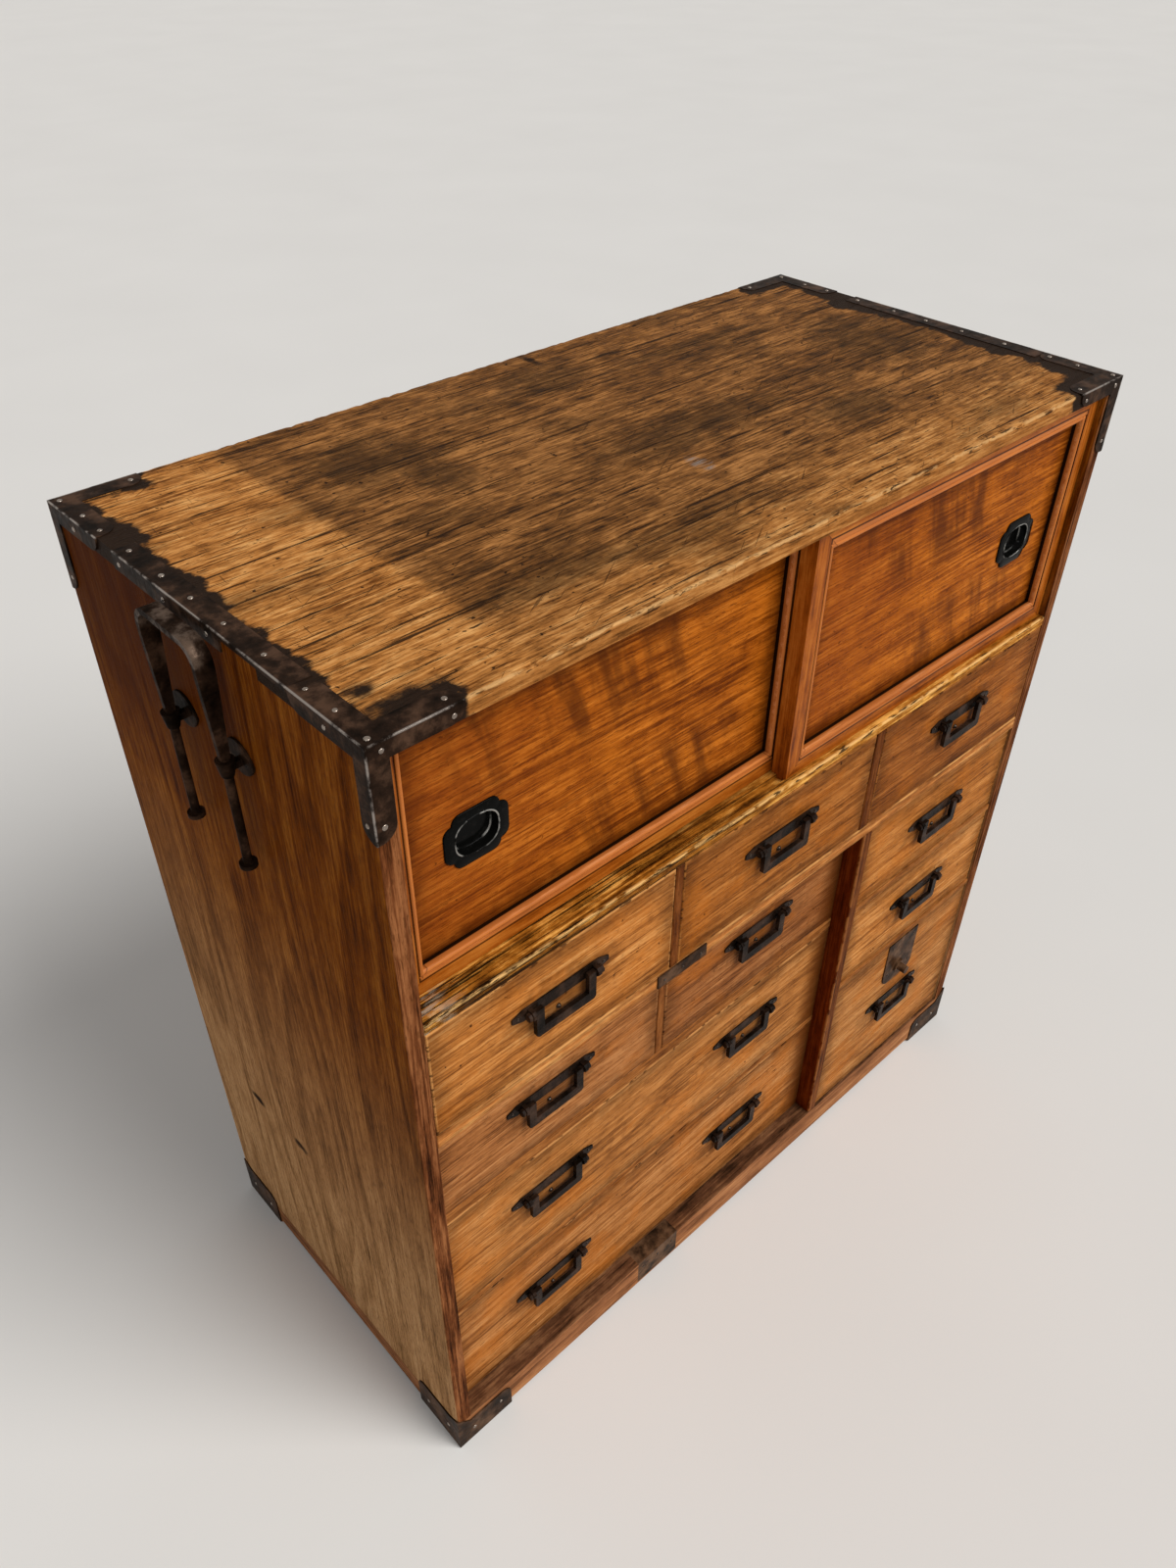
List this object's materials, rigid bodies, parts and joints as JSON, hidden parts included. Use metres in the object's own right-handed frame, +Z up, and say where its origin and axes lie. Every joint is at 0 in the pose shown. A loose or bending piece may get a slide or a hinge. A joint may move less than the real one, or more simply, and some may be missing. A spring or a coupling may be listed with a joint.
{
  "type": "merchant chest",
  "caption": "Tall wooden merchant chest with iron corner bindings: sliding panel doors above, rows of drawers with square iron bails below, lifting carry handles on the sides.",
  "frame": {"origin": "floor level under the centre of the whole chest's outline, handles, pulls and knob included", "axes": "+X to the right as seen from the front, +Y to the back, +Z up; the front faces -Y"},
  "size_m": [0.8854, 0.4244, 0.9125],
  "materials": {
    "top_wood": "worn wax",
    "side_wood": "worn wax",
    "frame_wood": "worn stain",
    "drawer_wood": "satin wax",
    "door_wood": "satin wax",
    "panel_wood": "satin wax",
    "inner_wood": "bare",
    "iron": "lacquered satin",
    "black_lacquer": "gloss"
  },
  "bodies": {
    "chest": {"left_side": "side_wood", "right_side": "side_wood", "top_board": "top_wood", "back_boards": "inner_wood", "bottom_board": "inner_wood", "base_frame": "frame_wood", "door_shelf": "frame_wood", "row_one_shelf": "frame_wood", "main_divider": "frame_wood", "row_one_dividers": "frame_wood", "row_two_divider": "frame_wood", "left_dust_boards": "frame_wood", "right_dust_boards": "frame_wood", "top_irons": "iron", "foot_irons": "iron", "panel_keepers": "iron", "eye_bolts_left": "iron", "eye_bolts_right": "iron"},
    "top_left_drawer": {"drawer_top_left": "drawer_wood", "pull_plate_top_left": "iron"},
    "top_middle_drawer": {"drawer_top_middle": "drawer_wood", "pull_plate_top_middle": "iron"},
    "top_right_drawer": {"drawer_top_right": "drawer_wood", "pull_plate_top_right": "iron"},
    "left_upper_drawer": {"drawer_left_upper": "drawer_wood", "pull_plate_left_upper": "iron"},
    "middle_upper_drawer": {"drawer_middle_upper": "drawer_wood", "pull_plate_middle_upper": "iron"},
    "wide_upper_drawer": {"drawer_wide_upper": "drawer_wood", "pull_plate_wide_upper": "iron"},
    "wide_lower_drawer": {"drawer_wide_lower": "drawer_wood", "pull_plate_wide_lower": "iron"},
    "right_upper_drawer": {"drawer_right_upper": "drawer_wood", "pull_plate_right_upper": "iron"},
    "right_middle_drawer": {"drawer_right_middle": "drawer_wood", "pull_plate_right_middle": "iron"},
    "right_lower_drawer": {"drawer_right_lower": "drawer_wood", "pull_plate_right_lower": "iron", "lock_plate": "iron"},
    "top_left_bail": {"bail_top_left": "iron"},
    "top_middle_bail": {"bail_top_middle": "iron"},
    "top_right_bail": {"bail_top_right": "iron"},
    "left_upper_bail": {"bail_left_upper": "iron"},
    "middle_upper_bail": {"bail_middle_upper": "iron"},
    "wide_upper_left_bail": {"bail_wide_upper_left": "iron"},
    "wide_upper_right_bail": {"bail_wide_upper_right": "iron"},
    "wide_lower_left_bail": {"bail_wide_lower_left": "iron"},
    "wide_lower_right_bail": {"bail_wide_lower_right": "iron"},
    "right_upper_bail": {"bail_right_upper": "iron"},
    "right_middle_bail": {"bail_right_middle": "iron"},
    "right_lower_bail": {"bail_right_lower": "iron"},
    "left_door": {"left_door_frame": "door_wood", "left_door_panel": "panel_wood", "left_door_pull": "black_lacquer"},
    "right_door": {"right_door_frame": "door_wood", "right_door_panel": "panel_wood", "right_door_pull": "black_lacquer"},
    "left_handle": {"carrying_handle_left": "iron"},
    "right_handle": {"carrying_handle_right": "iron"},
    "lock_turn": {"lock_knob": "iron"}
  },
  "joints": [
    {"name": "top_left_slide", "type": "slide", "parent": "chest", "child": "top_left_drawer", "axis": [0, -1, 0], "range_m": [0, 0.32]},
    {"name": "top_middle_slide", "type": "slide", "parent": "chest", "child": "top_middle_drawer", "axis": [0, -1, 0], "range_m": [0, 0.32]},
    {"name": "top_right_slide", "type": "slide", "parent": "chest", "child": "top_right_drawer", "axis": [0, -1, 0], "range_m": [0, 0.32]},
    {"name": "left_upper_slide", "type": "slide", "parent": "chest", "child": "left_upper_drawer", "axis": [0, -1, 0], "range_m": [0, 0.3]},
    {"name": "middle_upper_slide", "type": "slide", "parent": "chest", "child": "middle_upper_drawer", "axis": [0, -1, 0], "range_m": [0, 0.3]},
    {"name": "wide_upper_slide", "type": "slide", "parent": "chest", "child": "wide_upper_drawer", "axis": [0, -1, 0], "range_m": [0, 0.3]},
    {"name": "wide_lower_slide", "type": "slide", "parent": "chest", "child": "wide_lower_drawer", "axis": [0, -1, 0], "range_m": [0, 0.3]},
    {"name": "right_upper_slide", "type": "slide", "parent": "chest", "child": "right_upper_drawer", "axis": [0, -1, 0], "range_m": [0, 0.32]},
    {"name": "right_middle_slide", "type": "slide", "parent": "chest", "child": "right_middle_drawer", "axis": [0, -1, 0], "range_m": [0, 0.32]},
    {"name": "right_lower_slide", "type": "slide", "parent": "chest", "child": "right_lower_drawer", "axis": [0, -1, 0], "range_m": [0, 0.32]},
    {"name": "top_left_swing", "type": "hinge", "parent": "top_left_drawer", "child": "top_left_bail", "pos_m": [-0.27925, -0.20625, 0.59875], "axis": [-1, 0, 0], "range_deg": [0, 165]},
    {"name": "top_middle_swing", "type": "hinge", "parent": "top_middle_drawer", "child": "top_middle_bail", "pos_m": [-0.011, -0.20625, 0.60275], "axis": [-1, 0, 0], "range_deg": [0, 165]},
    {"name": "top_right_swing", "type": "hinge", "parent": "top_right_drawer", "child": "top_right_bail", "pos_m": [0.27025, -0.20625, 0.60075], "axis": [-1, 0, 0], "range_deg": [0, 165]},
    {"name": "left_upper_swing", "type": "hinge", "parent": "left_upper_drawer", "child": "left_upper_bail", "pos_m": [-0.27425, -0.18675, 0.453], "axis": [-1, 0, 0], "range_deg": [0, 165]},
    {"name": "middle_upper_swing", "type": "hinge", "parent": "middle_upper_drawer", "child": "middle_upper_bail", "pos_m": [0.0005, -0.18675, 0.46], "axis": [-1, 0, 0], "range_deg": [0, 165]},
    {"name": "wide_upper_left_swing", "type": "hinge", "parent": "wide_upper_drawer", "child": "wide_upper_left_bail", "pos_m": [-0.27475, -0.18675, 0.3115], "axis": [-1, 0, 0], "range_deg": [0, 165]},
    {"name": "wide_upper_right_swing", "type": "hinge", "parent": "wide_upper_drawer", "child": "wide_upper_right_bail", "pos_m": [0.00025, -0.18675, 0.3115], "axis": [-1, 0, 0], "range_deg": [0, 165]},
    {"name": "wide_lower_left_swing", "type": "hinge", "parent": "wide_lower_drawer", "child": "wide_lower_left_bail", "pos_m": [-0.27475, -0.18675, 0.143], "axis": [-1, 0, 0], "range_deg": [0, 165]},
    {"name": "wide_lower_right_swing", "type": "hinge", "parent": "wide_lower_drawer", "child": "wide_lower_right_bail", "pos_m": [0.00025, -0.18675, 0.143], "axis": [-1, 0, 0], "range_deg": [0, 165]},
    {"name": "right_upper_swing", "type": "hinge", "parent": "right_upper_drawer", "child": "right_upper_bail", "pos_m": [0.27675, -0.20375, 0.4625], "axis": [-1, 0, 0], "range_deg": [0, 165]},
    {"name": "right_middle_swing", "type": "hinge", "parent": "right_middle_drawer", "child": "right_middle_bail", "pos_m": [0.27675, -0.20375, 0.3435], "axis": [-1, 0, 0], "range_deg": [0, 165]},
    {"name": "right_lower_swing", "type": "hinge", "parent": "right_lower_drawer", "child": "right_lower_bail", "pos_m": [0.27675, -0.20375, 0.1616], "axis": [-1, 0, 0], "range_deg": [0, 165]},
    {"name": "left_door_slide", "type": "slide", "parent": "chest", "child": "left_door", "axis": [1, 0, 0], "range_m": [0, 0.3985]},
    {"name": "right_door_slide", "type": "slide", "parent": "chest", "child": "right_door", "axis": [-1, 0, 0], "range_m": [0, 0.3985]},
    {"name": "left_handle_lift", "type": "slide", "parent": "chest", "child": "left_handle", "axis": [0, 0, 1], "range_m": [0, 0.08]},
    {"name": "right_handle_lift", "type": "slide", "parent": "chest", "child": "right_handle", "axis": [0, 0, 1], "range_m": [0, 0.08]},
    {"name": "lock_turn", "type": "hinge", "parent": "right_lower_drawer", "child": "lock_turn", "pos_m": [0.27675, -0.19825, 0.2125], "axis": [0, 1, 0], "range_deg": [0, 180]}
  ]
}
